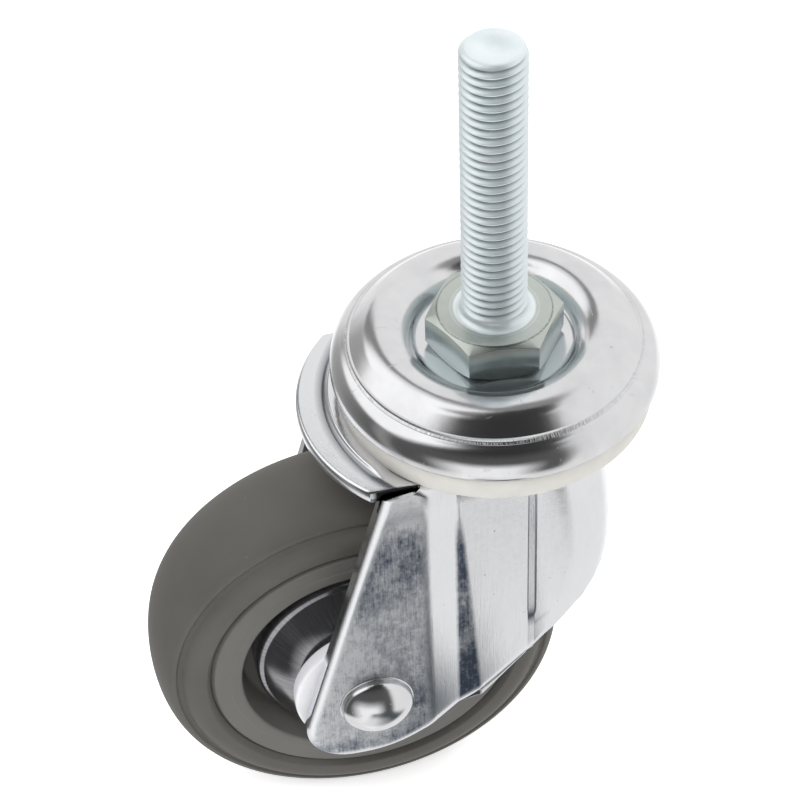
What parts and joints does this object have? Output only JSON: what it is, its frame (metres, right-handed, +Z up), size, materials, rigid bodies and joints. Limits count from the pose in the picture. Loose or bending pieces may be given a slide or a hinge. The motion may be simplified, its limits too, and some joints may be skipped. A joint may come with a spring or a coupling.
{
  "type": "swivel castor",
  "caption": "Swivel castor with a threaded stem, a domed swivel head, a pressed steel fork with joggled legs, and a grey rubber wheel with steel hub caps.",
  "frame": {"origin": "middle of the hexagon's top face, on the stem's axis, where the castor meets what it is screwed to", "axes": "+Z up along the stem, -X the way that the wheel trails, -Y the near side of the wheel"},
  "size_m": [0.0986, 0.0598, 0.1738],
  "materials": {
    "stem_zinc": "zinc plated, slightly blue",
    "bright_zinc": "bright zinc plated",
    "fork_zinc": "zinc plated sheet, mottled",
    "race_steel": "hardened and greased",
    "ivory_plastic": "matt, pale ivory",
    "white_plastic": "matt, white",
    "grey_plastic": "matt, warm grey",
    "grey_rubber": "matt, warm grey, non-marking"
  },
  "bodies": {
    "head": {"threaded_stem": "stem_zinc", "swivel_cap": "bright_zinc", "upper_race": "race_steel", "race_spacer": "race_steel", "lower_race": "race_steel", "king_washer": "stem_zinc", "king_nut": "stem_zinc"},
    "swivel": {"fork": "fork_zinc", "dust_seal": "ivory_plastic", "upper_balls": "race_steel", "lower_balls": "race_steel", "axle_rivet": "bright_zinc", "axle_sleeve": "race_steel", "thread_guard_near": "white_plastic", "thread_guard_far": "white_plastic", "bearing_inner_near": "race_steel", "bearing_inner_far": "race_steel"},
    "wheel": {"tyre": "grey_rubber", "wheel_core": "grey_plastic", "hub_cap_near": "bright_zinc", "hub_cap_far": "bright_zinc", "bearing_outer_near": "race_steel", "bearing_outer_far": "race_steel", "bearing_balls_near": "race_steel", "bearing_balls_far": "race_steel"}
  },
  "joints": [
    {"name": "swivel", "type": "hinge", "parent": "head", "child": "swivel", "pos_m": [0, 0, 0], "axis": [0, 0, 1], "continuous": true},
    {"name": "wheel_spin", "type": "hinge", "parent": "swivel", "child": "wheel", "pos_m": [-0.0287, 0, -0.0758], "axis": [0, 1, 0], "continuous": true}
  ]
}
